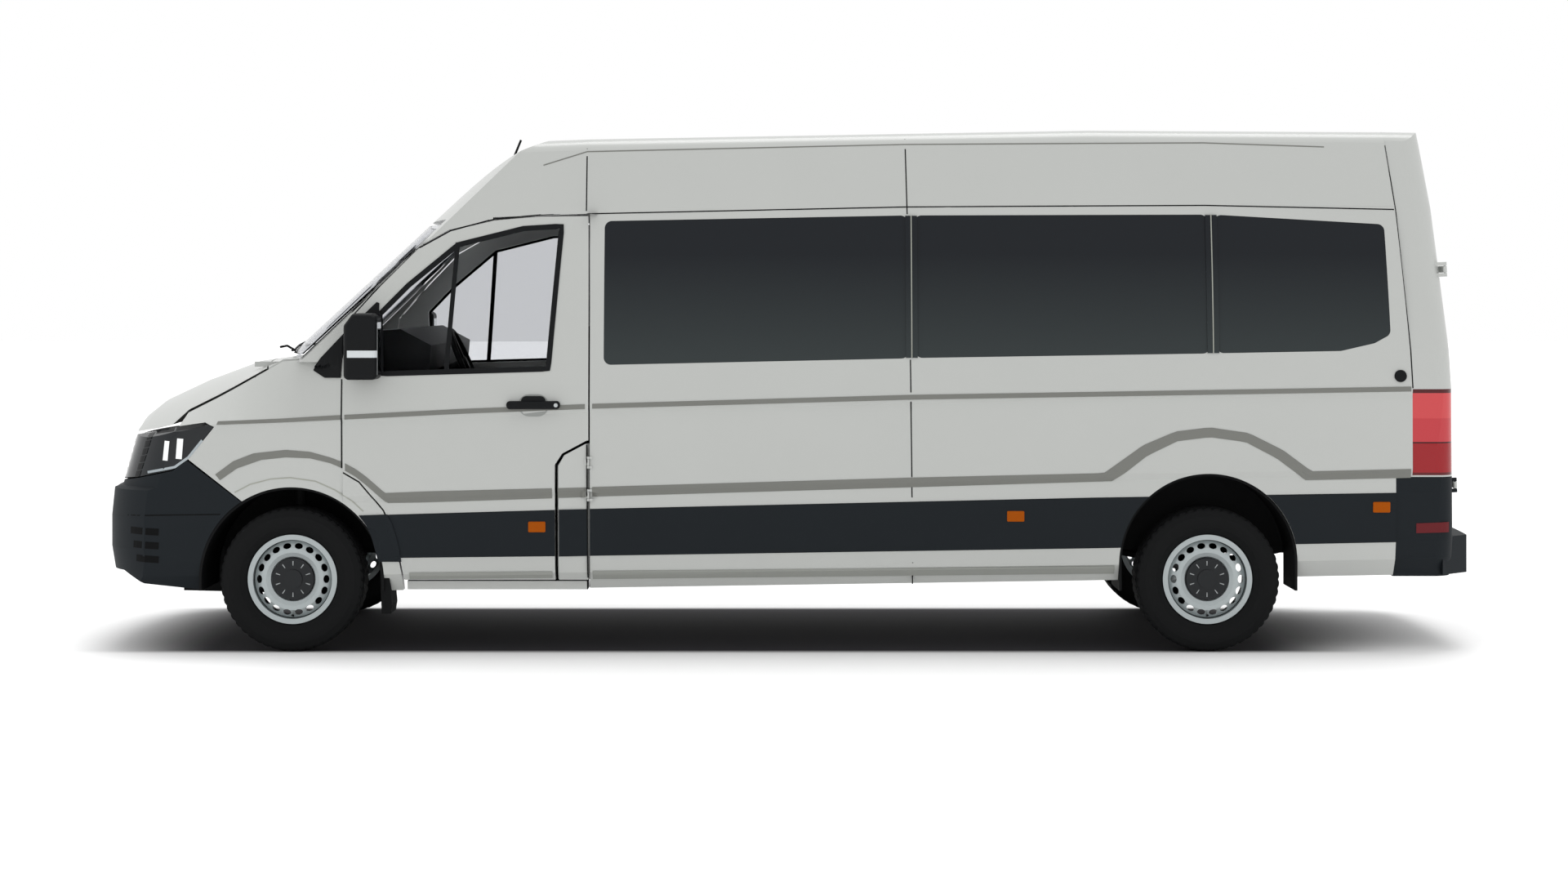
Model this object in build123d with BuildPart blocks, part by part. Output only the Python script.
from build123d import *
import os
from math import radians, sin, cos

os.makedirs("parts", exist_ok=True)

# A long-wheelbase, high-roof panel van in millimetres.
# The front faces -X, the left side -Y, and the tyres stand on Z = 0.
wheelbase = 4490.0
front_overhang = 1000.0
rear_overhang = 1346.0
front_end_x = -(front_overhang + wheelbase + rear_overhang) / 2
front_axle_x = front_end_x + front_overhang
rear_axle_x = front_axle_x + wheelbase
rear_end_x = rear_axle_x + rear_overhang

wall = 70.0
nose_wall = 50.0
lid_gap = 8.0
fit_gap = 0.3
glass_thickness = 8.0
glass_inset = 2.0
band_thickness = 6.0
beyond = 1400.0

# Wheels and axles
tyre_radius = 353.0
tyre_width = 235.0
bead_radius = 203.0
flange_radius = 219.0
rim_width = 168.0
track = 1750.0
hub_y = track / 2
kingpin_y = 785.0
spindle_radius = 30.0
axle_z = tyre_radius

# Wheel arches: a circle, open below
front_arch_radius = 453.0
front_arch_z = 355.0
rear_arch_radius = 437.0
rear_arch_z = 437.0
liner_thickness = 12.0

# Stations along the body
nose_x = front_end_x - 32
cowl_x = front_axle_x + 255
pillar_x = front_axle_x + 1455
middle_x = rear_axle_x - 570
tail_x = rear_end_x + 32
floor_top = 640.0
floor_thickness = 80.0
rail_y = 430.0

# Design lines of the body side, from the rail under the sill to the crown of the roof.
# Columns: height at the nose, height at the tail, bow between them,
# half-width at the nose, along the cab and load space, and at the tail.
design_lines = {
    "rail": (280, 380, -8, 905, 930, 918),
    "sill": (366, 462, -11, 955, 984, 972),
    "band_low": (449, 548, -14, 972, 1000, 988),
    "band_top": (625, 786, 21, 985, 1006, 994),
    "swage_low": (678, 870, 31, 985, 1004, 992),
    "swage_low_top": (708, 900, 31, 990, 1014, 1002),
    "swage_up_low": (1062, 1264, 43, 990, 1010, 997),
    "swage_up": (1090, 1292, 43, 985, 1020, 1006),
    "waist": (1318, 1478, 24, 985, 1008, 994),
    "seam": (2036, 2178, 67, 880, 908, 884),
    "crease": (2353, 2495, 67, 820, 846, 822),
    "crown_edge": (2409, 2551, 67, 714, 740, 716),
    "crown": (2433, 2575, 67, 0, 0, 0),
}
side_lines = [
    "rail", "sill", "band_low", "band_top", "swage_low", "swage_low_top", "swage_up_low", "swage_up",
]
# Share of the wall thickness taken sideways and downwards, where a line lies on the roof
inset_direction = {"crease": (0.95, 0.3), "crown_edge": (0.45, 0.9), "crown": (0.0, 1.0)}


def line_point(name, x, inset=0.0):
    """Half-width and height of a design line at x, taken inset inside the skin."""
    z_nose, z_tail, bow, y_nose, y_body, y_tail = design_lines[name]
    t = (x - nose_x) / (tail_x - nose_x)
    z = z_nose + (z_tail - z_nose) * t + bow * 4 * t * (1 - t)
    y = y_body
    if x < cowl_x:
        y = y_nose + (y_body - y_nose) * (x - nose_x) / (cowl_x - nose_x)
    if x > middle_x:
        y = y_body + (y_tail - y_body) * (x - middle_x) / (tail_x - middle_x)
    across, down = inset_direction.get(name, (1.0, 0.0))
    return y - inset * across, z - inset * down


def bulged_middle(start, end, share):
    """Middle of a bulged edge that leaves its chord to the right of its direction."""
    run, rise = end[0] - start[0], end[1] - start[1]
    return (start[0] + run / 2 + rise * share, start[1] + rise / 2 - run * share)


def draw_side(x, inset):
    """Edges of the right body side, from the rail up to the roof seam, and their two ends."""
    points = [line_point(name, x, inset) for name in side_lines]
    seam = line_point("seam", x, inset)
    Polyline(*points)
    ThreePointArc(points[-1], line_point("waist", x, inset), seam)
    return points[0], seam


def side_section(x, outer, inner):
    """Cross-section of the right side wall at x, between two depths inside the skin."""
    with BuildSketch(Plane.YZ.offset(x)) as section:
        with BuildLine():
            foot, head = draw_side(x, outer)
            inner_foot, inner_head = draw_side(x, inner)
            Line(foot, inner_foot)
            Line(head, inner_head)
        make_face()
    return section.sketch


def roof_section(x, inset, drop):
    """Cross-section of the roof at x, closed by a level line that lies drop below the seam."""
    seam_y, seam_z = line_point("seam", x, inset)
    crease = line_point("crease", x, inset)
    edge = line_point("crown_edge", x, inset)
    crown = line_point("crown", x, inset)
    roof_bulge = 0.16
    with BuildSketch(Plane.YZ.offset(x)) as section:
        with BuildLine():
            for side in (-1, 1):
                bend = bulged_middle(crease, edge, roof_bulge)
                foot = (side * seam_y, seam_z)
                if drop > 0:
                    Line((side * seam_y, seam_z - drop), foot)
                Line(foot, (side * crease[0], crease[1]))
                ThreePointArc(
                    (side * crease[0], crease[1]), (side * bend[0], bend[1]), (side * edge[0], edge[1])
                )
            ThreePointArc((-edge[0], edge[1]), crown, edge)
            Line((-seam_y, seam_z - drop), (seam_y, seam_z - drop))
        make_face()
    return section.sketch


def outline(points, radius):
    """Side-view face through the points, with every corner rounded."""
    with BuildSketch(Plane.XZ) as face:
        with BuildLine():
            FilletPolyline(*points, radius=radius, close=True)
        make_face()
    return face.sketch


def polygon(points):
    """Side-view face through the points."""
    with BuildSketch(Plane.XZ) as face:
        with BuildLine():
            Polyline(*points, close=True)
        make_face()
    return face.sketch


def arch(axle_x, centre_z, radius):
    """Side-view face of a wheel arch that is open downwards."""
    with BuildSketch(Plane.XZ) as face:
        with Locations((axle_x, centre_z)):
            Circle(radius)
        with Locations((axle_x, centre_z / 2 - beyond / 2)):
            Rectangle(2 * radius, centre_z + beyond)
    return face.sketch


front_arch = arch(front_axle_x, front_arch_z, front_arch_radius)
rear_arch = arch(rear_axle_x, rear_arch_z, rear_arch_radius)

# Front door: its hinge line stands just outside the skin at the front edge, and its rear edge
# is part of a cylinder about that line, so the gap to the pillar stays the same as it swings.
door_hinge_x = cowl_x
door_hinge_y = 1028.0
door_sweep = 1200.0
door_bottom = 351.0
# Outline of the door opening: distance behind the front axle, height
door_front = [(552, 351), (516, 558), (456, 697), (337, 837), (255, 885), (255, 1440), (277, 1615)]
door_top = [(437, 1795), (614, 1975), (766, 2061), (986, 2115), (1206, 2134)]


def behind_front(points):
    """Points given behind the front axle, moved to the vehicle's frame."""
    return [(front_axle_x + x, z) for x, z in points]


def behind_rear(points):
    """Points given behind the rear axle, moved to the vehicle's frame."""
    return [(rear_axle_x + x, z) for x, z in points]


def full_section(x, inset, bottom):
    """Whole cross-section of the body at x, both sides and the roof, closed at the bottom."""
    crease = line_point("crease", x, inset)
    edge = line_point("crown_edge", x, inset)
    crown = line_point("crown", x, inset)
    bend = bulged_middle(crease, edge, 0.16)
    points = [line_point(name, x, inset) for name in side_lines]
    waist = line_point("waist", x, inset)
    seam = line_point("seam", x, inset)
    with BuildSketch(Plane.YZ.offset(x)) as section:
        with BuildLine():
            for side in (-1, 1):
                mirrored = [(side * y, z) for y, z in points]
                Polyline((mirrored[0][0], bottom), *mirrored)
                ThreePointArc(mirrored[-1], (side * waist[0], waist[1]), (side * seam[0], seam[1]))
                Line((side * seam[0], seam[1]), (side * crease[0], crease[1]))
                ThreePointArc(
                    (side * crease[0], crease[1]), (side * bend[0], bend[1]), (side * edge[0], edge[1])
                )
            ThreePointArc((-edge[0], edge[1]), crown, edge)
            Line((-points[0][0], bottom), (points[0][0], bottom))
        make_face()
    return section.sketch


# Rear end: plan outlines at several heights give the leaning rear face and its round corners.
rear_face_x = rear_axle_x + 1214
rear_face_z = 867.0
rear_lean = 131.0
rear_lean_height = 1631.0
rear_corner = 100.0
hoop_start_x = rear_axle_x + 800
# Columns: height, half-width
rear_levels = [
    (150, 900), (380, 920), (462, 974), (548, 991), (1292, 1009), (1478, 997), (2178, 887),
    (2495, 825), (2650, 795),
]


def rear_x(z):
    """Where the rear face lies at a height."""
    rise = max(z - rear_face_z, 0.0)
    return rear_face_x - rear_lean * (rise / rear_lean_height) ** 2


def rear_outline(z, half, setback):
    """Plan outline of the tail at a height, its rear face moved forward by setback."""
    back = rear_x(z) - setback
    with BuildSketch(Plane.XY.offset(z)) as face:
        with BuildLine():
            FilletPolyline(
                (hoop_start_x, -half), (back, -half), (back, half), (hoop_start_x, half),
                radius=[0, rear_corner, rear_corner, 0], close=True,
            )
        make_face()
    return face.sketch


# Nose: cross-sections of wings and bonnet. Columns: distance behind the front axle, crown height,
# shoulder half-width and height, side half-width and height.
nose_stations = [
    (-1032, 930, 770, 860, 985, 800),
    (-902, 1109, 780, 985, 988, 900),
    (-772, 1216, 790, 1060, 992, 985),
    (-572, 1310, 800, 1160, 1000, 1075),
    (-312, 1406, 815, 1285, 1010, 1128),
    (-63, 1440, 880, 1430, 1016, 1142),
    (255, 1448, 1003, 1440, 1020, 1152),
]
swage_drop = 28.0
swage_step = 9.0
# Plan outlines of the nose. Columns: height, distance of the front face behind the front end.
nose_levels = [
    (150, 90), (391, 18), (500, 0), (654, 0), (790, 14), (805, 56), (1061, 128), (1600, 275),
]
front_flat_half = 600.0
front_bow = 45.0
front_corner_length = 430.0
front_corner_bulge = 0.2
nose_half = 1022.0


def nose_section(station, inset, bottom):
    """Cross-section of the nose at one station, taken inset inside the skin."""
    offset_x, crown_z, shoulder_y, shoulder_z, side_y, side_z = station
    x = front_axle_x + offset_x
    lower = [line_point(name, x, inset) for name in ("rail", "sill", "band_low")]
    foot = (side_y - swage_step - inset, side_z - swage_drop)
    side = (side_y - inset, side_z)
    shoulder = (shoulder_y - inset, shoulder_z - inset * 0.6)
    points = [(lower[0][0], bottom)] + lower + [foot, side, shoulder]
    with BuildSketch(Plane.YZ.offset(x)) as section:
        with BuildLine():
            Polyline(*[(-y, z) for y, z in points])
            Polyline(*points)
            ThreePointArc((-shoulder[0], shoulder[1]), (0, crown_z - inset), shoulder)
            Line((-lower[0][0], bottom), (lower[0][0], bottom))
        make_face()
    return section.sketch


def nose_outline(level, inset):
    """Plan outline of the nose at one height, taken inset inside the skin."""
    z, setback = level
    front = front_end_x + setback + inset
    flat = front_flat_half - inset
    half = nose_half - inset
    turn = front + front_corner_length
    bend = bulged_middle((front + front_bow, flat), (turn, half), -front_corner_bulge)
    back = cowl_x + wall
    with BuildSketch(Plane.XY.offset(z)) as face:
        with BuildLine():
            ThreePointArc((front + front_bow, -flat), (front, 0), (front + front_bow, flat))
            for side in (-1, 1):
                ThreePointArc(
                    (front + front_bow, side * flat), (bend[0], side * bend[1]), (turn, side * half)
                )
                Line((turn, side * half), (back, side * half))
            Line((back, -half), (back, half))
        make_face()
    return face.sketch


def nose_block(inset, bottom):
    """Solid of the whole nose, taken inset inside the skin."""
    with BuildPart() as block:
        loft(sections=[nose_section(s, inset, bottom) for s in nose_stations], ruled=True)
        loft(sections=[nose_outline(level, inset) for level in nose_levels], ruled=True, mode=Mode.INTERSECT)
    return block.part


with BuildPart() as nose_shell:
    add(nose_block(0.0, 200.0))
    add(nose_block(nose_wall, 100.0), mode=Mode.SUBTRACT)
    extrude(front_arch, amount=beyond, both=True, mode=Mode.SUBTRACT)


def save(builder, name):
    """Label a finished piece and write it out."""
    builder.part.label = name
    export_step(builder.part, f"parts/{name}.step")


def save_pair(builder, name):
    """Write the right-hand piece and its mirror image on the left."""
    save(builder, f"{name}_right")
    with BuildPart() as left:
        mirror(objects=builder.part, about=Plane.XZ)
    save(left, f"{name}_left")


# Nose panels, all cut from one shell along their shut lines.
# Lower edge of the bonnet: distance behind the front axle, height
bonnet_edge = [
    (-1200, 1050), (-872, 1050), (-704, 1078), (-602, 1103), (-541, 1172), (-395, 1245), (-63, 1427),
    (300, 1458),
]
bonnet_rear_centre = -232.0
bonnet_rear_side = -80.0
scuttle_half = 850.0
scuttle_foot = 1340.0
lamp_inner_y = 565.0
lamp_outline = [
    (-1100, 812), (-760, 855), (-584, 892), (-508, 946), (-380, 1102), (-428, 1120), (-602, 1094),
    (-704, 1072), (-872, 1044), (-1100, 1044),
]
grille_outline = [(-1100, 806), (-740, 806), (-740, 1044), (-1100, 1044)]
bumper_outline = [
    (-1200, 800), (-1000, 806), (-760, 849), (-584, 886), (-512, 938), (-200, 700), (-200, 280),
    (-348, 287), (-731, 331), (-846, 391), (-1200, 391),
]
wing_outline = [
    (-200, 706), (-505, 944), (-375, 1103), (-424, 1124), (-560, 1104), (-537, 1166), (-393, 1239),
    (-60, 1420), (255, 1450), (255, 200), (-200, 200),
]


def bonnet_plan(gap):
    """Plan of all that lies ahead of the bonnet's curved rear edge, moved back by gap."""
    half = 1100.0
    with BuildSketch(Plane.XY.offset(900)) as plan:
        with BuildLine():
            centre_x = front_axle_x + bonnet_rear_centre + gap
            corner_x = front_axle_x + bonnet_rear_side + gap
            ThreePointArc((corner_x, -half), (centre_x, 0), (corner_x, half))
            Polyline((corner_x, half), (nose_x - half, half), (nose_x - half, -half), (corner_x, -half))
        make_face()
    return plan.sketch


def scuttle_space(half):
    """Box behind the bonnet that takes in the scuttle panel below the windscreen."""
    with BuildPart() as part:
        with Locations((front_axle_x + bonnet_rear_centre - 10, 0, scuttle_foot)):
            Box(600, 2 * half, 300, align=(Align.MIN, Align.CENTER, Align.MIN))
    return part.part


def above(points, lift, top):
    """Side-view face of all that lies above a line of points."""
    raised = [(x, z + lift) for x, z in behind_front(points)]
    return polygon(raised + [(raised[-1][0], top), (raised[0][0], top)])


# Bonnet hinges: straps that run back into notches of the scuttle, each on a cross pin
bonnet_hinge_x = front_axle_x - 62
bonnet_hinge_z = 1400.0
strap_y = 580.0
strap_width = 28.0
strap_length = 190.0
strap_radius = 13.0
notch_width = 44.0
notch_depth = 60.0
hinge_pin_radius = 6.0
running_gap = 0.08
with BuildPart() as bonnet:
    add(nose_shell.part)
    extrude(above(bonnet_edge, lid_gap, 1700), amount=beyond, both=True, mode=Mode.INTERSECT)
    extrude(bonnet_plan(0.0), amount=beyond, mode=Mode.INTERSECT)
    for side in (-1, 1):
        with BuildSketch(Plane.XZ.offset(-side * strap_y)):
            with Locations((bonnet_hinge_x - strap_length / 2, bonnet_hinge_z)):
                Rectangle(strap_length, 2 * strap_radius)
            with Locations((bonnet_hinge_x, bonnet_hinge_z)):
                Circle(strap_radius)
                Circle(hinge_pin_radius + running_gap, mode=Mode.SUBTRACT)
        extrude(amount=strap_width / 2, both=True)
save(bonnet, "bonnet")

with BuildPart() as headlamps:
    add(nose_shell.part)
    extrude(polygon(behind_front(lamp_outline)), amount=beyond, both=True, mode=Mode.INTERSECT)
    with Locations((nose_x, 0, 900)):
        Box(2 * beyond, 2 * lamp_inner_y, beyond, mode=Mode.SUBTRACT)
save(headlamps, "headlamps")

with BuildPart() as grille:
    add(nose_shell.part)
    extrude(polygon(behind_front(grille_outline)), amount=lamp_inner_y - fit_gap, both=True, mode=Mode.INTERSECT)
save(grille, "grille")

tow_y = 250.0
tow_z = 560.0
tow_seat_radius = 26.0
tow_seat_depth = 20.0
tow_bore_radius = 10.0
tow_bore_length = 34.0
with BuildPart() as front_bumper:
    add(nose_shell.part)
    extrude(polygon(behind_front(bumper_outline)), amount=beyond, both=True, mode=Mode.INTERSECT)
    extrude(polygon(behind_front(grille_outline)), amount=lamp_inner_y, both=True, mode=Mode.SUBTRACT)
    for radius, start, depth in (
        (tow_seat_radius, 0.0, tow_seat_depth),
        (tow_bore_radius, 0.0, 2 * nose_wall),
        (tow_seat_radius, tow_seat_depth + tow_bore_length, 2 * nose_wall),
    ):
        with BuildSketch(Plane.YZ.offset(front_end_x + start)):
            with Locations((tow_y, tow_z)):
                Circle(radius)
        extrude(amount=depth, mode=Mode.SUBTRACT)
save(front_bumper, "front_bumper")

# Body side and front door, drawn on the right and mirrored to the left.
door_outline = polygon(behind_front(door_front + door_top + [(1500, 2137), (1500, 351)]))
with BuildSketch(Plane.XZ) as door_gap_outline:
    add(door_outline)
    offset(amount=lid_gap, kind=Kind.INTERSECTION)


def side_wall(first_x, last_x, outer, inner):
    """Right side wall between two stations and two depths inside the skin."""
    stations = [first_x] + [x for x in (cowl_x, middle_x) if first_x < x < last_x] + [last_x]
    with BuildPart() as part:
        loft(sections=[side_section(x, outer, inner) for x in stations], ruled=True)
    return part.part


def door_cylinder(radius):
    """Upright cylinder about the right door's hinge line."""
    with BuildPart() as part:
        with BuildSketch():
            with Locations((door_hinge_x, door_hinge_y)):
                Circle(radius)
        extrude(amount=3000)
    return part.part


cab_side = side_wall(cowl_x, pillar_x + 60, 0.0, wall)

with BuildPart() as front_wings:
    add(nose_shell.part)
    extrude(polygon(behind_front(wing_outline)), amount=beyond, both=True, mode=Mode.INTERSECT)
    with Locations((front_axle_x, 0, 900)):
        Box(2 * beyond, 2 * lamp_inner_y, 3000, mode=Mode.SUBTRACT)
    add(scuttle_space(scuttle_half + fit_gap), mode=Mode.SUBTRACT)
with BuildPart() as arch_strip:
    add(cab_side)
    extrude(
        polygon(behind_front([(255, 897), (341, 845), (700, 845), (700, 200), (255, 200)])),
        amount=beyond, both=True, mode=Mode.INTERSECT,
    )
    extrude(front_arch, amount=beyond, both=True, mode=Mode.SUBTRACT)
    extrude(door_gap_outline.sketch, amount=beyond, both=True, mode=Mode.SUBTRACT)
    extrude(
        polygon(behind_front([(540, 100), (900, 100), (900, 900), (540, 900)])),
        amount=beyond, both=True, mode=Mode.SUBTRACT,
    )
with BuildPart() as wings:
    add(front_wings.part)
    add(arch_strip.part)
    mirror(objects=arch_strip.part, about=Plane.XZ)
save(wings, "front_wings")

# Front door with its window opening
window_points = [
    (441, 1363), (1259, 1387), (1319, 2087), (1130, 2075), (810, 1995), (570, 1795), (433, 1655),
]
window_corner = 18.0
door_window = outline(behind_front(window_points), window_corner)
with BuildPart() as door_right:
    add(cab_side)
    extrude(door_outline, amount=beyond, both=True, mode=Mode.INTERSECT)
    add(door_cylinder(door_sweep), mode=Mode.INTERSECT)
    extrude(door_window, amount=beyond, both=True, mode=Mode.SUBTRACT)
save(door_right, "front_door_right")

# The fuel flap on the left fills a notch in the door's lower rear corner.
notch_points = [(1291, 918), (1327, 973), (1447, 1037), (1600, 1037), (1600, 200), (1291, 200)]
with BuildPart() as door_left:
    mirror(objects=door_right.part, about=Plane.XZ)
    extrude(polygon(behind_front(notch_points)), amount=beyond, both=True, mode=Mode.SUBTRACT)
save(door_left, "front_door_left")

flap_points = [(1309, 912), (1337, 964), (1442, 1020), (1451, 1020), (1451, 351), (1309, 351)]
flap_thickness = 22.0
flap_hinge_x = pillar_x
flap_hinge_y = -1020.0
flap_hinges = (770.0, 930.0)
flap_barrel_radius = 6.0
flap_pin_radius = 3.0
flap_eye_half = 15.0
flap_lug_height = 12.0


def flap_hinge(z, height, across, bore):
    """One leaf of the fuel flap's hinges: a barrel on the hinge line and a plate to across."""
    with BuildPart() as leaf:
        with BuildSketch(Plane.XY.offset(z)):
            with Locations((flap_hinge_x, flap_hinge_y)):
                Circle(flap_barrel_radius)
            with Locations((flap_hinge_x + across / 2, flap_hinge_y + flap_barrel_radius)):
                Rectangle(abs(across), 2 * flap_barrel_radius)
            with Locations((flap_hinge_x + across, flap_hinge_y + 3 * flap_barrel_radius)):
                Rectangle(2 * flap_barrel_radius, 4 * flap_barrel_radius)
            if bore > 0:
                with Locations((flap_hinge_x, flap_hinge_y)):
                    Circle(bore, mode=Mode.SUBTRACT)
        extrude(amount=height)
    return leaf.part


with BuildPart() as fuel_flap:
    mirror(objects=side_wall(cowl_x, pillar_x + 60, 0.0, flap_thickness), about=Plane.XZ)
    extrude(polygon(behind_front(flap_points)), amount=beyond, both=True, mode=Mode.INTERSECT)
    for z in flap_hinges:
        add(flap_hinge(z - flap_eye_half, 2 * flap_eye_half, -18.0, flap_pin_radius + running_gap))
save(fuel_flap, "fuel_flap")

with BuildPart() as door_glass:
    add(side_wall(cowl_x, pillar_x + 60, glass_inset, glass_inset + glass_thickness))
    with BuildSketch(Plane.XZ):
        add(door_window)
        offset(amount=-fit_gap)
    extrude(amount=beyond, both=True, mode=Mode.INTERSECT)
save_pair(door_glass, "door_glass")

# Windscreen: a large cylinder that leans back along the slope of the glass.
screen_base_x = front_axle_x - 149
screen_base_z = 1430.0
screen_slope = 42.8
screen_radius = 3680.0
screen_foot = -200.0
screen_head = 1200.0
screen_region = [(-400, 1456), (1200, 1456), (1200, 2096), (-400, 2096)]
screen_frame = Plane(
    origin=(screen_base_x, 0, screen_base_z),
    x_dir=(0, 1, 0),
    z_dir=(cos(radians(screen_slope)), 0, sin(radians(screen_slope))),
)


def screen_solid(depth):
    """All that lies behind the windscreen's outer face, taken depth inside it."""
    with BuildPart() as part:
        with BuildSketch(screen_frame.offset(-beyond)):
            with Locations((0, -screen_radius)):
                Circle(screen_radius - depth)
            with Locations((0, -beyond)):
                Rectangle(2 * beyond, 2 * beyond, mode=Mode.INTERSECT)
        extrude(amount=4 * beyond)
    return part.part


# Side profile of the roof's front: distance behind the front axle, height
roof_front_foot = (700.0, 2198.0)
roof_front_bend = (873.0, 2326.0)
roof_front_middle = (1158.0, 2482.0)
roof_front_end = (1700.0, 2590.0)


def roof_front(depth):
    """Side-view face of all that lies under the roof's sloping front."""
    foot, bend, middle, end = [
        (front_axle_x + x + depth * 0.6, z - depth * 0.8)
        for x, z in (roof_front_foot, roof_front_bend, roof_front_middle, roof_front_end)
    ]
    slope = (bend[1] - foot[1]) / (bend[0] - foot[0])
    toe = (foot[0] - 400, foot[1] - 400 * slope)
    with BuildSketch(Plane.XZ) as face:
        with BuildLine():
            Line(toe, bend)
            ThreePointArc(bend, middle, end)
            Polyline(end, (end[0], toe[1]), toe)
        make_face()
    return face.sketch


with BuildPart() as roof_cap:
    loft(sections=[roof_section(x, 0.0, 0.0) for x in (cowl_x, pillar_x)], ruled=True)
    extrude(roof_front(0.0), amount=beyond, both=True, mode=Mode.INTERSECT)
    add(screen_solid(0.0), mode=Mode.INTERSECT)
with BuildPart() as roof_cap_inside:
    loft(sections=[roof_section(x, wall, 60.0) for x in (cowl_x, pillar_x + 50)], ruled=True)
    extrude(roof_front(wall), amount=beyond, both=True, mode=Mode.INTERSECT)
    add(screen_solid(wall), mode=Mode.INTERSECT)
with BuildPart() as roof_cap_shell:
    add(roof_cap.part)
    add(roof_cap_inside.part, mode=Mode.SUBTRACT)
save(roof_cap_shell, "roof_cap")

# Cab frame: the windscreen pillars, the scuttle below the glass and the engine bulkhead.
pillar_foot_z = 1420.0
pillar_region = [(-200, pillar_foot_z), (980, pillar_foot_z), (980, 2400), (-200, 2400)]
glass_edge_y = 845.0
with BuildPart() as screen_pillar:
    add(side_wall(front_axle_x - 160, pillar_x, 0.0, wall))
    extrude(polygon(behind_front(pillar_region)), amount=beyond, both=True, mode=Mode.INTERSECT)
    extrude(door_gap_outline.sketch, amount=beyond, both=True, mode=Mode.SUBTRACT)
    add(screen_solid(0.0), mode=Mode.INTERSECT)
    add(wings.part, mode=Mode.SUBTRACT)
    add(scuttle_space(scuttle_half + fit_gap), mode=Mode.SUBTRACT)
bulkhead_thickness = 40.0
bulkhead_half = 840.0
bulkhead_foot = 561.0
front_house_y = 520.0
bulkhead_top = 1410.0
with BuildPart() as scuttle:
    add(nose_shell.part)
    add(scuttle_space(scuttle_half), mode=Mode.INTERSECT)
    extrude(bonnet_plan(lid_gap), amount=beyond, mode=Mode.SUBTRACT)
    for side in (-1, 1):
        with Locations((bonnet_hinge_x + strap_radius + lid_gap, side * strap_y, bonnet_hinge_z - notch_depth)):
            Box(600, notch_width, 3 * notch_depth, align=(Align.MAX, Align.CENTER, Align.MIN), mode=Mode.SUBTRACT)
        with BuildSketch(Plane.XZ.offset(-side * strap_y)):
            with Locations((bonnet_hinge_x, bonnet_hinge_z)):
                Circle(hinge_pin_radius)
        extrude(amount=notch_width / 2 + 6, both=True)
    with Locations((cowl_x - bulkhead_thickness / 2 - fit_gap, 0, bulkhead_foot)):
        Box(
            bulkhead_thickness, 2 * bulkhead_half, bulkhead_top - bulkhead_foot,
            align=(Align.CENTER, Align.CENTER, Align.MIN),
        )
    for side in (-1, 1):
        with BuildSketch(Plane.XZ.offset(-side * (front_house_y - fit_gap))):
            with Locations((front_axle_x, front_arch_z)):
                Circle(front_arch_radius)
        extrude(amount=-side * beyond, mode=Mode.SUBTRACT)
with BuildPart() as cab_frame:
    add(scuttle.part)
    add(screen_pillar.part)
    mirror(objects=screen_pillar.part, about=Plane.XZ)
save(cab_frame, "cab_frame")

with BuildPart() as windscreen:
    with BuildSketch(screen_frame.offset(screen_foot)):
        with Locations((0, -screen_radius)):
            Circle(screen_radius - fit_gap)
            Circle(screen_radius - glass_thickness, mode=Mode.SUBTRACT)
        with Locations((0, -beyond / 2)):
            Rectangle(2 * glass_edge_y, beyond, mode=Mode.INTERSECT)
    extrude(amount=screen_head - screen_foot)
    extrude(polygon(behind_front(screen_region)), amount=beyond, both=True, mode=Mode.INTERSECT)
    for side in (-1, 1):
        add(screen_pillar.part if side > 0 else screen_pillar.part.mirror(Plane.XZ), mode=Mode.SUBTRACT)
    add(roof_cap_shell.part, mode=Mode.SUBTRACT)
save(windscreen, "windscreen")

# Load space: side panels with three panes each, the roof and the hoop round the rear doors.
# Front edge of the hoop and the rear lamps: distance behind the rear axle, height
panel_end = [
    (917, 100), (917, 857), (997, 858), (997, 1288), (989, 1476), (937, 2174), (893, 2517), (893, 2800),
]
ahead_of_hoop = polygon(behind_rear(panel_end + [(-7000, 2800), (-7000, 100)]))
# Panes: distances of front and rear edge behind the front axle, then heights of the four corners
pane_1 = [(1530, 1406), (3021, 1438), (3021, 2140), (1530, 2112)]
pane_2 = [(3053, 1440), (4496, 1462), (4496, 2144), (3053, 2140)]
pane_3 = [(4528, 1463), (5137, 1474), (5303, 1512), (5382, 1555), (5366, 2096), (4528, 2144)]
pane_corner = 36.0
panes = [outline(behind_front(points), pane_corner) for points in (pane_1, pane_2, pane_3)]
load_side = side_wall(pillar_x - 40, rear_axle_x + 1005, 0.0, wall)

with BuildPart() as side_panel:
    add(load_side)
    extrude(ahead_of_hoop, amount=beyond, both=True, mode=Mode.INTERSECT)
    add(door_cylinder(door_sweep + lid_gap), mode=Mode.SUBTRACT)
    extrude(rear_arch, amount=beyond, both=True, mode=Mode.SUBTRACT)
    for pane in panes:
        extrude(pane, amount=beyond, both=True, mode=Mode.SUBTRACT)

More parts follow.
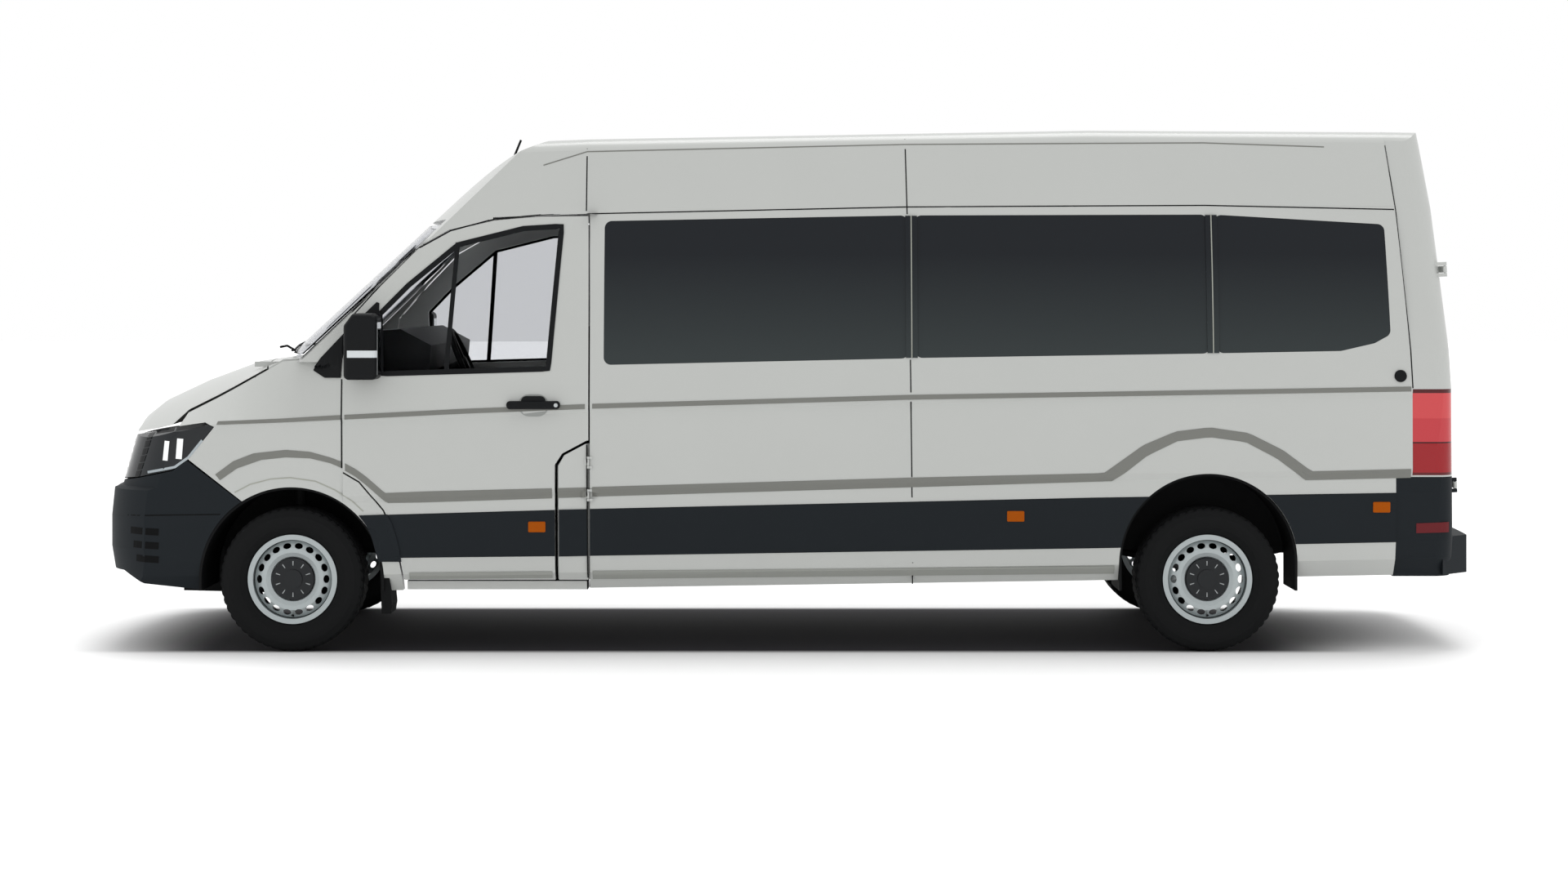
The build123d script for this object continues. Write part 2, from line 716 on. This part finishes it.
filler_depth = 35.0
filler_points = [(1303, 912), (1337, 964), (1442, 1020), (1480, 1020), (1480, 351), (1303, 351)]
with BuildPart() as filler:
    add(side_wall(cowl_x, pillar_x + 60, filler_depth, wall - 5))
    extrude(polygon(behind_front(filler_points)), amount=beyond, both=True, mode=Mode.INTERSECT)
    add(side_panel.part)
with BuildPart() as side_panel_left:
    mirror(objects=filler.part, about=Plane.XZ)
    for z in flap_hinges:
        for start in (z - flap_eye_half - 2 - flap_lug_height, z + flap_eye_half + 2):
            add(flap_hinge(start, flap_lug_height, 20.0, 0.0))
        with BuildSketch(Plane.XY.offset(z - flap_eye_half - 3)):
            with Locations((flap_hinge_x, flap_hinge_y)):
                Circle(flap_pin_radius)
        extrude(amount=2 * flap_eye_half + 6)
save(side_panel_left, "side_panel_left")

slider_points = [(1493, 345), (3036, 345), (3036, 2125), (1493, 2118)]
slider_corner = 60.0
slider_outline = outline(behind_front(slider_points), slider_corner)
with BuildPart() as side_panel_right:
    add(side_panel.part)
    extrude(slider_outline, amount=beyond, both=True, mode=Mode.SUBTRACT)
save(side_panel_right, "side_panel_right")
with BuildPart() as sliding_door:
    add(side_panel.part)
    with BuildSketch(Plane.XZ):
        add(slider_outline)
        offset(amount=-fit_gap)
    extrude(amount=beyond, both=True, mode=Mode.INTERSECT)
save(sliding_door, "sliding_door")

with BuildPart() as side_glass:
    add(side_wall(pillar_x, rear_axle_x + 1000, glass_inset, glass_inset + glass_thickness))
    with BuildSketch(Plane.XZ):
        for pane in panes:
            add(pane)
        offset(amount=-fit_gap)
    extrude(amount=beyond, both=True, mode=Mode.INTERSECT)
with BuildPart() as all_side_glass:
    add(side_glass.part)
    mirror(objects=side_glass.part, about=Plane.XZ)
save(all_side_glass, "side_glass")

roof_stations = (pillar_x, middle_x, rear_axle_x + 960)
with BuildPart() as roof_inside:
    loft(sections=[roof_section(x, wall, 60.0) for x in roof_stations], ruled=True)
with BuildPart() as roof:
    loft(sections=[roof_section(x, 0.0, 0.0) for x in roof_stations], ruled=True)
    add(roof_inside.part, mode=Mode.SUBTRACT)
    extrude(ahead_of_hoop, amount=beyond, both=True, mode=Mode.INTERSECT)
save(roof, "roof")


def tail_block(inset, setback, bottom):
    """Solid of the body's tail, with its leaning rear face moved forward by setback."""
    with BuildPart() as block:
        loft(sections=[full_section(x, inset, bottom) for x in (hoop_start_x, tail_x)], ruled=True)
        loft(
            sections=[rear_outline(z, half, setback) for z, half in rear_levels],
            ruled=True, mode=Mode.INTERSECT,
        )
    return block.part


# Rear doors: half of the opening in rear view, distance from the centre line and height
rear_door_points = [
    (0, 605), (770, 605), (770, 880), (868, 905), (880, 1290), (862, 1480), (775, 2230), (690, 2370), (0, 2395),
]
rear_door_thickness = 60.0
rear_window_points = [(110, 1480), (735, 1480), (672, 2160), (110, 2180)]
rear_window_corner = 45.0
rear_hinge_x = rear_face_x + 16
rear_hinge_y = 890.0
# Hinge line of a rear door: it leans forward with the rear face. Columns of the two hinges:
# height, reach of the arm to its foot on the door, length of the foot, length of the lugs
rear_hinge_z = 812.0
rear_hinge_lean = 0.047
rear_hinges = [(812, 140, 40, 50), (1875, 118, 40, 60)]
rear_barrel_radius = 10.0
rear_pin_radius = 5.0
rear_eye_half = 16.0
rear_lug_height = 18.0
arm_thickness = 8.0
lamp_depth = 45.0
lamp_low = 866.0
lamp_high = 1288.0


def rear_view(points, grow=0.0, radius=0.0):
    """Rear-view face through the points, with rounded corners, grown by a gap."""
    with BuildSketch(Plane.YZ.offset(hoop_start_x - 200)) as face:
        with BuildLine():
            FilletPolyline(*points, radius=radius, close=True)
        make_face()
        if grow != 0:
            offset(amount=grow, kind=Kind.INTERSECTION)
    return face.sketch


def hinge_frame(z):
    """Plane across the right rear door's hinge line at a height."""
    return Plane(
        origin=(rear_hinge_x - rear_hinge_lean * (z - rear_hinge_z), rear_hinge_y, z),
        x_dir=(1, 0, rear_hinge_lean), z_dir=(-rear_hinge_lean, 0, 1),
    )


def hinge_lugs(hinge):
    """Fixed half of a right rear hinge: two lugs and the pin between them."""
    z, arm_reach, foot_length, lug_length = hinge
    with BuildPart() as lugs:
        for start in (-rear_eye_half - 2 - rear_lug_height, rear_eye_half + 2):
            with BuildSketch(hinge_frame(z).offset(start)):
                Circle(rear_barrel_radius)
                with Locations((-lug_length / 2, 0)):
                    Rectangle(lug_length, 2 * rear_barrel_radius)
            extrude(amount=rear_lug_height)
        with BuildSketch(hinge_frame(z).offset(-rear_eye_half - 3)):
            Circle(rear_pin_radius)
        extrude(amount=2 * rear_eye_half + 6)
    return lugs.part


def hinge_arm(hinge):
    """Moving half of a right rear hinge: the eye on the pin and an arm to the door."""
    z, arm_reach, foot_length, lug_length = hinge
    with BuildPart() as arm:
        with BuildSketch(hinge_frame(z).offset(-rear_eye_half)):
            Circle(rear_barrel_radius)
            with Locations((0, -arm_reach / 2)):
                Rectangle(arm_thickness, arm_reach)
            with Locations((arm_thickness / 2 - foot_length / 2, -arm_reach)):
                Rectangle(foot_length, 24)
            Circle(rear_pin_radius + running_gap, mode=Mode.SUBTRACT)
        extrude(amount=2 * rear_eye_half)
    return arm.part


left_half = [(-y, z) for y, z in reversed(rear_door_points[1:-1])]
rear_opening = rear_view(rear_door_points[1:] + left_half, lid_gap)

tail_outer = tail_block(0.0, 0.0, 250.0)
tail_lamp_inner = tail_block(lamp_depth, lamp_depth, 250.0)
lamp_region = polygon(behind_rear([(997, lamp_low), (1400, lamp_low), (1400, lamp_high), (997, lamp_high)]))

with BuildPart() as tail_lamps:
    add(tail_outer)
    extrude(lamp_region, amount=beyond, both=True, mode=Mode.INTERSECT)
    add(tail_lamp_inner, mode=Mode.SUBTRACT)
    with Locations((rear_face_x, 0, lamp_low)):
        Box(400, 2 * (rear_hinge_y + 12), 1200, mode=Mode.SUBTRACT)
save(tail_lamps, "tail_lamps")

hoop_foot = 858.0
behind_panels = polygon(behind_rear([(1600, hoop_foot)] + panel_end[2:] + [(1600, 2800)]))
with BuildPart() as rear_frame:
    add(tail_outer)
    extrude(behind_panels, amount=beyond, both=True, mode=Mode.INTERSECT)
    extrude(rear_opening, amount=beyond, mode=Mode.SUBTRACT)
    loft(
        sections=[full_section(x, wall, 250.0) for x in (hoop_start_x - 50, rear_axle_x + 1040)],
        ruled=True, mode=Mode.SUBTRACT,
    )
    add(tail_lamps.part, mode=Mode.SUBTRACT)
    add(hinge_lugs(rear_hinges[1]))
    add(hinge_lugs(rear_hinges[1]).mirror(Plane.XZ))
save(rear_frame, "rear_frame")

with BuildPart() as rear_leaf:
    add(tail_outer)
    extrude(rear_view(rear_door_points), amount=beyond, mode=Mode.INTERSECT)
    add(tail_block(0.0, rear_door_thickness, 250.0), mode=Mode.SUBTRACT)
    with Locations((rear_face_x, 0, 0)):
        Box(600, lid_gap, 6000, mode=Mode.SUBTRACT)
with BuildPart() as rear_door:
    add(rear_leaf.part)
    extrude(rear_view(rear_window_points, 0.0, rear_window_corner), amount=beyond, mode=Mode.SUBTRACT)
    for hinge in rear_hinges:
        add(hinge_arm(hinge))
save_pair(rear_door, "rear_door")
pane_low, pane_high = rear_levels[5][0], rear_levels[6][0]
pane_slope = (rear_x(pane_high) - rear_x(pane_low)) / (pane_high - pane_low)
pane_line = [(rear_x(pane_low) + pane_slope * (z - pane_low) - glass_inset, z) for z in (1400.0, 2250.0)]
pane_back = [(x - glass_thickness, z) for x, z in reversed(pane_line)]
with BuildPart() as rear_glass:
    extrude(rear_view(rear_window_points, -fit_gap, rear_window_corner), amount=beyond)
    extrude(polygon(pane_line + pane_back), amount=beyond, both=True, mode=Mode.INTERSECT)
save_pair(rear_glass, "rear_glass")

# Rear bumper: corners that rise beside the doors and a step across the back
bumper_wall = 60.0
step_top = 560.0
step_foot = 375.0
step_bow = 40.0
step_half = 960.0
step_corner = 150.0
with BuildPart() as rear_bumper:
    add(tail_outer)
    extrude(
        polygon(behind_rear([(917 + fit_gap, 365), (1600, 365), (1600, 857), (997, 857), (917 + fit_gap, 857)])),
        amount=beyond, both=True, mode=Mode.INTERSECT,
    )
    add(tail_block(bumper_wall, bumper_wall, 250.0), mode=Mode.SUBTRACT)
    extrude(rear_opening, amount=beyond, mode=Mode.SUBTRACT)
    with BuildSketch(Plane.XY.offset(step_foot)):
        with BuildLine():
            inner_x = rear_face_x - bumper_wall
            outer_x = rear_end_x - step_bow
            step_end = step_half - step_corner
            ThreePointArc((outer_x, -step_end), (rear_end_x, 0), (outer_x, step_end))
            for side in (-1, 1):
                Line((outer_x, side * step_end), (inner_x, side * step_half))
            Line((inner_x, -step_half), (inner_x, step_half))
        make_face()
    extrude(amount=step_top - step_foot)
    add(hinge_lugs(rear_hinges[0]))
    add(hinge_lugs(rear_hinges[0]).mirror(Plane.XZ))
save(rear_bumper, "rear_bumper")

# Dark lower bands, fitted to the skin of the panels and the front doors
band_span = ("band_low", "band_top")


def band_section(x):
    """Cross-section of the right-hand lower band at x."""
    low, high = [line_point(name, x) for name in band_span]
    with BuildSketch(Plane.YZ.offset(x)) as section:
        with BuildLine():
            Polyline(
                (low[0] + fit_gap, low[1]), (low[0] + band_thickness, low[1] + 4),
                (high[0] + band_thickness, high[1] - 4), (high[0] + fit_gap, high[1]), close=True,
            )
        make_face()
    return section.sketch


def band(first_x, last_x):
    """Right-hand lower band between two stations."""
    stations = [first_x] + [x for x in (cowl_x, middle_x) if first_x < x < last_x] + [last_x]
    with BuildPart() as part:
        loft(sections=[band_section(x) for x in stations], ruled=True)
    return part.part


with BuildPart() as panel_band:
    add(band(pillar_x - 40, rear_axle_x + 917))
    add(door_cylinder(door_sweep + lid_gap), mode=Mode.SUBTRACT)
    extrude(rear_arch, amount=beyond, both=True, mode=Mode.SUBTRACT)
with BuildPart() as lower_bands:
    add(panel_band.part)
    mirror(objects=panel_band.part, about=Plane.XZ)
save(lower_bands, "lower_bands")
with BuildPart() as door_band:
    add(band(cowl_x, pillar_x + 60))
    extrude(door_outline, amount=beyond, both=True, mode=Mode.INTERSECT)
    add(door_cylinder(door_sweep), mode=Mode.INTERSECT)
save(door_band, "door_band_right")
with BuildPart() as door_band_left:
    mirror(objects=door_band.part, about=Plane.XZ)
    extrude(polygon(behind_front(notch_points)), amount=beyond, both=True, mode=Mode.SUBTRACT)
save(door_band_left, "door_band_left")

# Door mirrors: a foot on the door's front corner and a rounded housing on it
mirror_reach = 1212.0
mirror_foot = [(275, 1358), (440, 1358), (440, 1672), (285, 1560)]
mirror_housing = [(286, 1338), (448, 1338), (448, 1640), (420, 1660), (330, 1660), (286, 1600)]
mirror_root_y = 930.0
mirror_skin_y = 1022.0
mirror_corner = 26.0
with BuildPart() as mirror_right:
    with BuildSketch(Plane.XZ.offset(-mirror_root_y)):
        with BuildLine():
            Polyline(*behind_front(mirror_foot), close=True)
        make_face()
    extrude(amount=mirror_root_y - mirror_skin_y - 30)
    add(side_wall(cowl_x, pillar_x + 60, -fit_gap, 200.0), mode=Mode.SUBTRACT)
    with BuildSketch(Plane.XZ.offset(-mirror_skin_y - 20)):
        with BuildLine():
            FilletPolyline(*behind_front(mirror_housing), radius=mirror_corner, close=True)
        make_face()
    extrude(amount=-(mirror_reach - mirror_skin_y - 20))
    fillet(mirror_right.edges().group_by(Axis.Y)[-1], radius=mirror_corner)
save_pair(mirror_right, "mirror")

# Floor: a flat pan between the side walls, chassis rails below it, sills and wheel housings
floor_foot = floor_top - floor_thickness
floor_rear_x = rear_face_x - rear_door_thickness - 30
cab_floor_half = 920.0
rear_house_y = 640.0
house_outer_y = 985.0
house_foot = 300.0
house_wall_foot = 470.0
rail_width = 90.0
rail_height = 120.0
rail_foot = floor_foot - rail_height
crossmember_height = 70.0
crossmember_half = 800.0
sill_front = 560.0
sill_foot_z = 300.0
sill_head_z = door_bottom - lid_gap
sill_inner_y = 838.0
sill_width = 80.0
web_y = 810.0
web_thickness = 30.0
fuse = 0.5


def arch_hole(axle_x, centre_z, radius, inner_y):
    """Room of a right wheel housing, open downwards and outwards."""
    with BuildPart() as hole:
        with BuildSketch(Plane.XZ.offset(-inner_y)):
            with Locations((axle_x, centre_z)):
                Circle(radius)
            with Locations((axle_x, 0)):
                Rectangle(2 * radius, 2 * centre_z)
        extrude(amount=-beyond)
    return hole.part


def wheel_house(axle_x, centre_z, radius, inner_y):
    """Right wheel housing: a liner just inside the arch and the wall on its inner side."""
    outer = radius - fit_gap
    with BuildPart() as house:
        add(arch_hole(axle_x, centre_z, outer, inner_y))
        add(arch_hole(axle_x, centre_z, outer - liner_thickness, inner_y + liner_thickness), mode=Mode.SUBTRACT)
        with Locations((axle_x, inner_y, 0)):
            Box(2 * beyond, 2 * liner_thickness, 2 * house_wall_foot, mode=Mode.SUBTRACT)
        with Locations((axle_x, house_outer_y, house_foot)):
            Box(2 * beyond, 2 * beyond, 2 * beyond, align=(Align.CENTER, Align.MIN, Align.CENTER), mode=Mode.SUBTRACT)
        with Locations((axle_x, 0, house_foot)):
            Box(
                2 * beyond, 2 * beyond, beyond, align=(Align.CENTER, Align.CENTER, Align.MAX), mode=Mode.SUBTRACT,
            )
    return house.part


houses = [
    (front_axle_x, front_arch_z, front_arch_radius, front_house_y),
    (rear_axle_x, rear_arch_z, rear_arch_radius, rear_house_y),
]
crossmember_x = [front_axle_x + 620, front_axle_x + 1500, rear_axle_x - 1800, rear_axle_x - 800, rear_axle_x + 700]
with BuildPart() as floor_plate:
    loft(
        sections=[full_section(x, wall + fit_gap, 250.0) for x in (cowl_x, middle_x, tail_x)], ruled=True,
    )
    with Locations((cowl_x, 0, floor_foot)):
        Box(
            floor_rear_x - cowl_x, 2 * beyond, floor_thickness, align=(Align.MIN, Align.CENTER, Align.MIN),
            mode=Mode.INTERSECT,
        )
    for side in (-1, 1):
        with Locations((pillar_x + 40, side * (cab_floor_half + beyond / 2), floor_foot)):
            Box(2 * beyond, beyond, beyond, align=(Align.MAX, Align.CENTER, Align.CENTER), mode=Mode.SUBTRACT)
with BuildPart() as front_rail:
    add(nose_block(nose_wall + fit_gap, 100.0))
    with Locations((nose_x, rail_y, rail_foot)):
        Box(
            cowl_x - nose_x, rail_width, rail_height, align=(Align.MIN, Align.CENTER, Align.MIN),
            mode=Mode.INTERSECT,
        )
with BuildPart() as under_floor:
    add(front_rail.part)
    with Locations((cowl_x - fuse, rail_y, rail_foot)):
        Box(
            rear_face_x - bumper_wall - fit_gap - cowl_x, rail_width, rail_height + fuse,
            align=(Align.MIN, Align.CENTER, Align.MIN),
        )
    for x in crossmember_x:
        with Locations((x, 0, floor_foot - crossmember_height)):
            Box(rail_width, crossmember_half, crossmember_height + fuse, align=Align.MIN)
    with Locations((front_axle_x + sill_front, web_y, sill_foot_z)):
        Box(
            pillar_x - lid_gap - front_axle_x - sill_front, web_thickness, floor_foot + fuse - sill_foot_z,
            align=Align.MIN,
        )
    with Locations((front_axle_x + sill_front, sill_inner_y, sill_foot_z)):
        Box(
            pillar_x - lid_gap - front_axle_x - sill_front, sill_width, sill_head_z - sill_foot_z,
            align=Align.MIN,
        )
with BuildPart() as floor_pan:
    add(floor_plate.part)
    add(under_floor.part)
    mirror(objects=under_floor.part, about=Plane.XZ)
    for house in houses:
        add(arch_hole(house[0], house[1], house[2] - fit_gap, house[3]), mode=Mode.SUBTRACT)
        add(arch_hole(house[0], house[1], house[2] - fit_gap, house[3]).mirror(Plane.XZ), mode=Mode.SUBTRACT)
    for house in houses:
        add(wheel_house(*house))
        add(wheel_house(*house).mirror(Plane.XZ))
save(floor_pan, "floor_pan")

# Front axle: a subframe hung from the rails, its lower arms and the steered knuckles.
arm_foot = 205.0
arm_head = 230.0
arm_half = 35.0
pin_radius = 15.0
subframe_half_length = 150.0
subframe_half = 475.0
subframe_foot = 200.0
subframe_head = 300.0
upright_inner_y = 690.0
upright_outer_y = 750.0
upright_half = 45.0
hub_gap = 6.0
hub_inner_y = hub_y - 40
carrier_radius = 70.0
spindle_end_y = hub_y + 25
strut_y = 714.0
strut_radius = 28.0
strut_head = 784.0
boss_foot = arm_head + 6
boss_head = 300.0
with BuildPart() as front_subframe:
    with Locations((front_axle_x, 0, subframe_foot)):
        Box(
            2 * subframe_half_length, 2 * subframe_half, subframe_head - subframe_foot,
            align=(Align.CENTER, Align.CENTER, Align.MIN),
        )
    for side in (-1, 1):
        with Locations((front_axle_x, side * rail_y, subframe_head - fuse)):
            Box(
                2 * subframe_half_length, rail_width, rail_foot - fit_gap - subframe_head + fuse,
                align=(Align.CENTER, Align.CENTER, Align.MIN),
            )
        with BuildSketch(Plane.XY.offset(arm_foot)):
            with Locations((front_axle_x, side * (subframe_half + kingpin_y) / 2)):
                Rectangle(2 * arm_half, kingpin_y - subframe_half + 2)
            with Locations((front_axle_x, side * kingpin_y)):
                Circle(arm_half)
                Circle(pin_radius + fit_gap, mode=Mode.SUBTRACT)
        extrude(amount=arm_head - arm_foot)
save(front_subframe, "front_subframe")

with BuildPart() as knuckle:
    with Locations((front_axle_x, upright_inner_y, boss_foot)):
        Box(
            2 * upright_half, upright_outer_y - upright_inner_y, 2 * axle_z - boss_foot - 140,
            align=(Align.CENTER, Align.MIN, Align.MIN),
        )
    with BuildSketch(Plane.XZ.offset(-(upright_outer_y - 1))):
        with Locations((front_axle_x, axle_z)):
            Circle(carrier_radius)
    extrude(amount=-(hub_inner_y - hub_gap - upright_outer_y + 1))
    with BuildSketch(Plane.XZ.offset(-(upright_outer_y - 1))):
        with Locations((front_axle_x, axle_z)):
            Circle(spindle_radius)
    extrude(amount=-(spindle_end_y - upright_outer_y + 1))
    with BuildSketch(Plane.XY.offset(boss_foot)):
        with Locations((front_axle_x, (upright_outer_y + kingpin_y) / 2 - 10)):
            Rectangle(2 * arm_half, kingpin_y - upright_outer_y + 20)
        with Locations((front_axle_x, kingpin_y)):
            Circle(arm_half)
    extrude(amount=boss_head - boss_foot)
    with BuildSketch(Plane.XY.offset(subframe_foot)):
        with Locations((front_axle_x, kingpin_y)):
            Circle(pin_radius)
    extrude(amount=boss_foot - subframe_foot + 1)
    with BuildSketch(Plane.XY.offset(axle_z)):
        with Locations((front_axle_x, strut_y)):
            Circle(strut_radius)
    extrude(amount=strut_head - axle_z)
save_pair(knuckle, "knuckle")

# Rear axle: a dead beam on two leaf springs
beam_radius = 45.0
beam_half = 740.0
spring_y = 510.0
spring_width = 60.0
spring_thickness = 24.0
spring_reach = 640.0
spring_rise = 118.0
hanger_length = 60.0
with BuildPart() as rear_axle:
    for radius, half in ((beam_radius, beam_half), (spindle_radius, spindle_end_y)):
        with BuildSketch(Plane.XZ):
            with Locations((rear_axle_x, axle_z)):
                Circle(radius)
        extrude(amount=half, both=True)
    for side in (-1, 1):
        with BuildSketch(Plane.XZ.offset(-side * (beam_half - 1))):
            with Locations((rear_axle_x, axle_z)):
                Circle(carrier_radius)
        extrude(amount=-side * (hub_inner_y - hub_gap - beam_half + 1))
        with BuildSketch(Plane.XZ.offset(-side * spring_y)):
            with BuildLine():
                low = axle_z + beam_radius - 4
                left_x = rear_axle_x - spring_reach
                right_x = rear_axle_x + spring_reach
                ThreePointArc((left_x, low + spring_rise), (rear_axle_x, low), (right_x, low + spring_rise))
                Line((right_x, low + spring_rise), (right_x, low + spring_rise + spring_thickness))
                ThreePointArc(
                    (left_x, low + spring_rise + spring_thickness), (rear_axle_x, low + spring_thickness),
                    (right_x, low + spring_rise + spring_thickness),
                )
                Line((left_x, low + spring_rise), (left_x, low + spring_rise + spring_thickness))
            make_face()
            for x in (left_x + hanger_length / 2, right_x - hanger_length / 2):
                with Locations((x, (low + spring_rise + floor_foot - fit_gap) / 2)):
                    Rectangle(hanger_length, floor_foot - fit_gap - low - spring_rise)
        extrude(amount=spring_width / 2, both=True)
save(rear_axle, "rear_axle")

# Engine: one plain block between the rails, carried on an ear at each side
engine_front_x = front_axle_x - 600
engine_length = 480.0
engine_half = 320.0
engine_foot = 420.0
engine_head = 1010.0
ear_foot = 460.0
ear_height = 80.0
with BuildPart() as engine_block:
    with Locations((engine_front_x, 0, engine_foot)):
        Box(engine_length, 2 * engine_half, engine_head - engine_foot, align=(Align.MIN, Align.CENTER, Align.MIN))
    with Locations((engine_front_x + engine_length / 2, 0, ear_foot)):
        Box(120, 2 * (rail_y - rail_width / 2 - fit_gap), ear_height, align=(Align.CENTER, Align.CENTER, Align.MIN))
save(engine_block, "engine_block")


def place_wheel(builder, name, axle_x, side):
    """Write a wheel piece, drawn about the origin with its outer face towards +Y, in its place."""
    with BuildPart() as placed:
        if side > 0:
            add(builder.part.moved(Location((axle_x, hub_y, axle_z))))
        else:
            add(builder.part.mirror(Plane.XZ).moved(Location((axle_x, -hub_y, axle_z))))
    save(placed, name)


# Tyres: half of the cross-section from the bead out to the tread, radius and distance from the middle
bead = [(bead_radius + fit_gap, 68), (flange_radius + 1, 76), (226, 88)]
bulge = (288.0, tyre_width / 2)
shoulder = [(338, 104), (349, 95), (tyre_radius, 80)]
with BuildPart() as tyre:
    with BuildSketch(Plane.XY):
        with BuildLine():
            for side in (-1, 1):
                Polyline(*[(r, side * y) for r, y in bead])
                ThreePointArc(
                    (bead[-1][0], side * bead[-1][1]), (bulge[0], side * bulge[1]), (shoulder[0][0], side * shoulder[0][1])
                )
                Polyline(*[(r, side * y) for r, y in shoulder])
            Line((tyre_radius, -shoulder[-1][1]), (tyre_radius, shoulder[-1][1]))
            Line((bead[0][0], -bead[0][1]), (bead[0][0], bead[0][1]))
        make_face()
    revolve(axis=Axis.Y)

# Steel rims: barrel, dished disc with oval vents, hub and the cap over it.
# Cross-section, radius and distance from the middle: barrel, back of the disc, front of the disc
rim_edge = rim_width / 2
barrel = bead_radius - 9
rim_profile = [
    (flange_radius, rim_edge), (flange_radius, rim_edge - 6), (bead_radius, rim_edge - 14),
    (bead_radius, 14 - rim_edge), (flange_radius, 6 - rim_edge), (flange_radius, -rim_edge), (barrel, -rim_edge),
    (barrel, 10), (185, 44), (150, 62), (128, 58), (112, 34), (0, 34), (0, 52),
    (104, 52), (110, 62), (130, 74), (152, 74), (188, 56), (barrel, 40), (barrel, rim_edge),
]
vent_count = 18
vent_circle = 164.0
cap_radius = 102.0
cap_back = 40.0
cap_front = 66.0
boss_radius = 46.0
boss_front = 74.0
hub_radius = 75.0
with BuildPart() as rim:
    with BuildSketch(Plane.XY):
        with BuildLine():
            Polyline(*rim_profile, close=True)
        make_face()
    revolve(axis=Axis.Y)
    with BuildSketch(Plane.XZ):
        with PolarLocations(vent_circle, vent_count):
            Ellipse(14, 20)
    extrude(amount=-beyond, mode=Mode.SUBTRACT)
    for radius, front in ((cap_radius, cap_front), (boss_radius, boss_front)):
        with BuildSketch(Plane.XZ.offset(-cap_back)):
            Circle(radius)
        extrude(amount=cap_back - front)
    with BuildSketch(Plane.XZ.offset(hub_y - hub_inner_y)):
        Circle(hub_radius)
        Circle(spindle_radius + fit_gap, mode=Mode.SUBTRACT)
    extrude(amount=-(hub_y - hub_inner_y + cap_back - 5))
wheels = [
    ("front_left", front_axle_x, -1), ("front_right", front_axle_x, 1),
    ("rear_left", rear_axle_x, -1), ("rear_right", rear_axle_x, 1),
]
for corner, axle_x, side in wheels:
    place_wheel(tyre, f"tyre_{corner}", axle_x, side)
    place_wheel(rim, f"rim_{corner}", axle_x, side)

# Cab: dashboard with the steering column and wheel, and the seats.
# Side profiles: distance behind the front axle, height
dashboard_points = [
    (255.5, 960), (255.5, 1452), (110, 1458), (150, 1500), (250, 1560), (520, 1580), (670, 1500), (640, 1150),
    (520, 980),
]
dashboard_half = 880.0
column_foot = Vector(front_axle_x + 560, -430, 1300)
wheel_centre = Vector(front_axle_x + 790, -430, 1400)
steering_radius = 180.0
steering_grip = 14.0
column_radius = 32.0
column_line = wheel_centre - column_foot
with BuildPart() as dashboard:
    extrude(polygon(behind_front(dashboard_points)), amount=dashboard_half, both=True)
    with BuildSketch(Plane(origin=column_foot, z_dir=column_line)):
        Circle(column_radius)
    extrude(amount=column_line.length + steering_grip)
    with Locations(Plane(origin=wheel_centre, z_dir=column_line)):
        Torus(steering_radius, steering_grip)
        Box(2 * steering_radius, 2 * steering_grip, steering_grip)
save(dashboard, "dashboard")

cushion_points = [(800, floor_top + fit_gap), (800, 1010), (840, 1060), (1290, 1040), (1330, floor_top + fit_gap)]
backrest_points = [(1270, 1000), (1390, 960), (1500, 1560), (1450, 1600), (1385, 1560)]
seat_spans = [(-700, -200), (-120, 780)]
with BuildPart() as seats:
    for first_y, last_y in seat_spans:
        for points in (cushion_points, backrest_points):
            with BuildSketch(Plane.XZ.offset(-first_y)):
                with BuildLine():
                    Polyline(*behind_front(points), close=True)
                make_face()
            extrude(amount=first_y - last_y)
save(seats, "seats")
